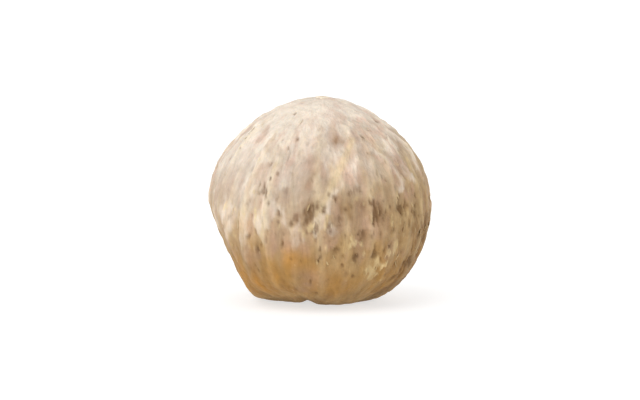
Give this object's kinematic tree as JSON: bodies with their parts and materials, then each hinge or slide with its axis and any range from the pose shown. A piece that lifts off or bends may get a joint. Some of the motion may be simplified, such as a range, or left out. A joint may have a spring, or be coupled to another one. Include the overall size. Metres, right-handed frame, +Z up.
{
  "type": "white peppercorn",
  "caption": "Small round dried pepper seed with fine pale ribs from its base to its apex, one pinched flank, and a flattened base that it rests on.",
  "frame": {"origin": "on the surface that the seed rests on, under the middle of its box", "axes": "+Z up from the base towards the apex, +X away from the pinched flank, -Y towards the crease at the front"},
  "size_m": [0.0046, 0.0046, 0.0042],
  "materials": {
    "dried_pulp": "matt dried fruit pulp over a seed coat, cream to tan with darker veins and pits, ochre at the base"
  },
  "bodies": {
    "root": {"peppercorn": "dried_pulp"}
  },
  "joints": []
}
